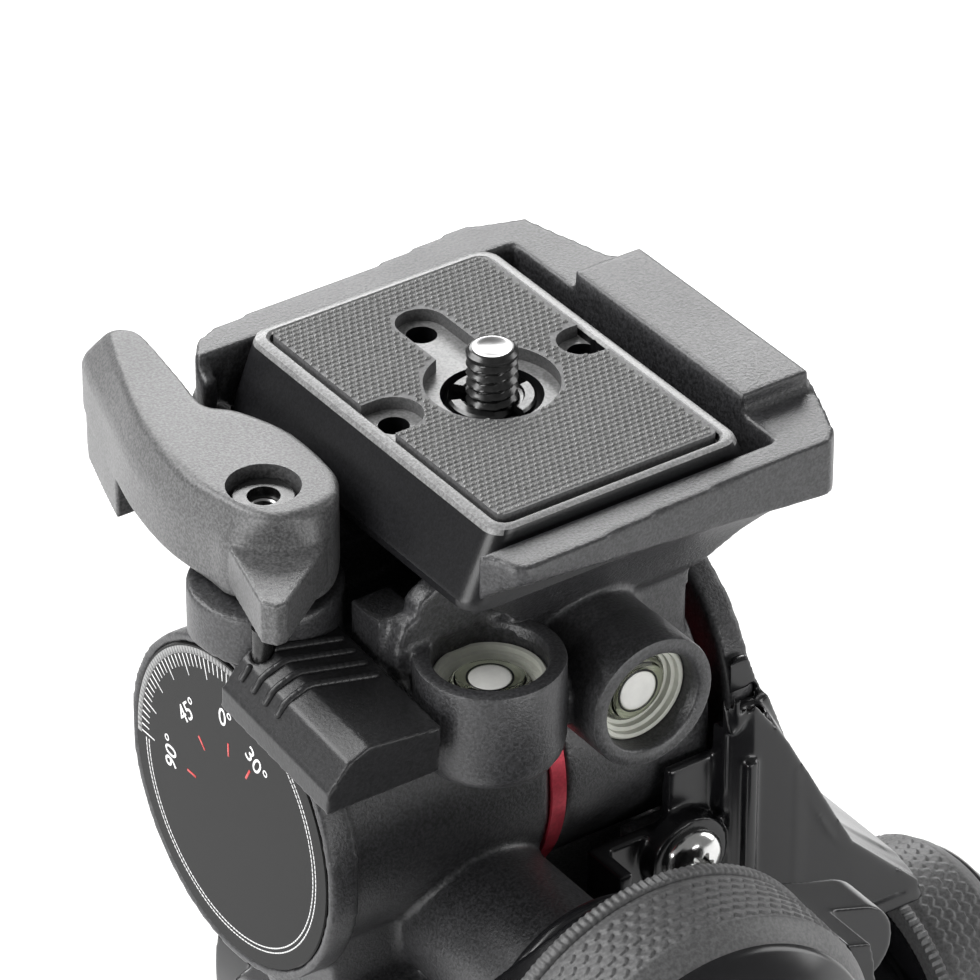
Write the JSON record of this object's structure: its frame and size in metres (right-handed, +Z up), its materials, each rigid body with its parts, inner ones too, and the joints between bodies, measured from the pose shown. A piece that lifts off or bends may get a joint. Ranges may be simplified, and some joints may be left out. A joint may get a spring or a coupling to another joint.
{
  "type": "three way pan tilt head",
  "caption": "Geared three way pan tilt head with worm control knobs, release levers, level vials and a quick-release camera plate.",
  "frame": {"origin": "centre of the foot's underside, on the pan axis", "axes": "+Z up along the pan axis, -Y towards the side-tilt knob and the level vials, +X towards the fixed jaw and the front-tilt knob"},
  "size_m": [0.1152, 0.1284, 0.1355],
  "materials": {
    "grey_cast": "fine-textured dark grey coat over cast aluminium",
    "satin_grey": "satin dark grey",
    "black_gloss": "glossy black moulding",
    "red_anodised": "red anodised",
    "grip_rubber": "patterned soft black rubber",
    "bright_steel": "bright plated steel",
    "machined_steel": "turned steel",
    "bronze": "machined bronze",
    "vial_glass": "clear vial with pale green spirit"
  },
  "bodies": {
    "base": {"foot_disc": "satin_grey", "pan_scale_ring": "black_gloss", "tripod_thread_bush": "bright_steel", "pan_wheel": "bronze", "pan_wheel_retainer": "machined_steel"},
    "pan_body": {"pan_housing": "grey_cast", "pan_bush": "bronze", "front_tilt_axle": "machined_steel", "front_tilt_wheel": "bronze", "pan_worm_bearings": "bronze", "pan_ring": "red_anodised", "pan_release_spring": "machined_steel"},
    "pan_control": {"pan_worm_shaft": "machined_steel", "pan_knob_core": "black_gloss", "pan_knob_grip": "grip_rubber", "pan_knob_cap": "black_gloss"},
    "pan_release": {"pan_release_lever": "black_gloss"},
    "cradle": {"cradle_frame": "grey_cast", "fairing_screw": "bright_steel", "front_gear_cover": "black_gloss", "front_release_spring": "machined_steel", "front_ring": "red_anodised", "front_tilt_front_bush": "bronze", "front_tilt_rear_bush": "bronze", "front_worm_bearings": "bronze", "left_hinge_ring": "red_anodised", "rear_hinge_cover": "black_gloss", "right_hinge_ring": "red_anodised", "side_fairing": "black_gloss", "side_release_spring": "machined_steel", "side_ring": "red_anodised", "side_tilt_left_bush": "bronze", "side_tilt_right_bush": "bronze", "side_worm_bearings": "bronze", "tilt_dial": "black_gloss"},
    "front_control": {"front_worm_shaft": "machined_steel", "front_knob_core": "black_gloss", "front_knob_grip": "grip_rubber", "front_knob_cap": "black_gloss"},
    "front_release": {"front_release_lever": "black_gloss"},
    "side_control": {"side_worm_shaft": "machined_steel", "side_knob_core": "black_gloss", "side_knob_grip": "grip_rubber", "side_knob_cap": "black_gloss"},
    "side_release": {"side_release_lever": "black_gloss"},
    "platform": {"platform_frame": "grey_cast", "tilt_pointer": "satin_grey", "side_tilt_axle": "machined_steel", "side_tilt_wheel": "bronze", "top_level_vial": "vial_glass", "front_level_vial": "vial_glass", "clamp_lever_screw": "bright_steel", "clamp_lever_spring": "machined_steel", "lever_stop_pin": "machined_steel"},
    "clamp_lever": {"clamp_lever": "satin_grey"},
    "quick_plate": {"quick_plate": "satin_grey", "plate_pad": "grip_rubber"},
    "camera_screw": {"camera_screw": "bright_steel", "camera_screw_bow": "bright_steel"}
  },
  "joints": [
    {"name": "pan", "type": "hinge", "parent": "base", "child": "pan_body", "pos_m": [0, 0, 0], "axis": [0, 0, 1], "continuous": true},
    {"name": "pan_knob_turn", "type": "hinge", "parent": "pan_body", "child": "pan_control", "pos_m": [0.0115, 0, 0.019], "axis": [0, 1, 0], "continuous": true},
    {"name": "pan_release_turn", "type": "hinge", "parent": "pan_body", "child": "pan_release", "pos_m": [0.0115, 0, 0.019], "axis": [0, 1, 0], "range_deg": [0, 25], "stiffness_Nm_per_rad": 0.05},
    {"name": "front_tilt", "type": "hinge", "parent": "pan_body", "child": "cradle", "pos_m": [-0.008, 0, 0.042], "axis": [0, -1, 0], "range_deg": [-15, 90]},
    {"name": "front_knob_turn", "type": "hinge", "parent": "cradle", "child": "front_control", "pos_m": [-0.008, -0.0185, 0.0305], "axis": [1, 0, 0], "range_deg": [-330, 1980]},
    {"name": "front_release_turn", "type": "hinge", "parent": "cradle", "child": "front_release", "pos_m": [-0.008, -0.0185, 0.0305], "axis": [1, 0, 0], "range_deg": [0, 25], "stiffness_Nm_per_rad": 0.05},
    {"name": "side_tilt", "type": "hinge", "parent": "cradle", "child": "platform", "pos_m": [0, 0, 0.0843], "axis": [-1, 0, 0], "range_deg": [-30, 90]},
    {"name": "side_knob_turn", "type": "hinge", "parent": "cradle", "child": "side_control", "pos_m": [-0.014, 0, 0.0693], "axis": [0, -1, 0], "range_deg": [-2070, 690]},
    {"name": "side_release_turn", "type": "hinge", "parent": "cradle", "child": "side_release", "pos_m": [-0.014, 0, 0.0693], "axis": [0, -1, 0], "range_deg": [0, 25], "stiffness_Nm_per_rad": 0.05},
    {"name": "clamp_lever_swing", "type": "hinge", "parent": "platform", "child": "clamp_lever", "pos_m": [-0.031, 0.002, 0], "axis": [0, 0, 1], "range_deg": [0, 50], "stiffness_Nm_per_rad": 0.05},
    {"name": "plate_lift", "type": "slide", "parent": "platform", "child": "quick_plate", "axis": [0, 0, 1], "range_m": [0, 0.03]},
    {"name": "camera_screw_turn", "type": "hinge", "parent": "quick_plate", "child": "camera_screw", "pos_m": [0, 0, 0.12], "axis": [0, 0, 1], "continuous": true}
  ],
  "couplings": [
    {"joint": "pan_knob_turn", "follows": "pan", "ratio": 22},
    {"joint": "front_knob_turn", "follows": "front_tilt", "ratio": 22},
    {"joint": "side_knob_turn", "follows": "side_tilt", "ratio": -23}
  ]
}
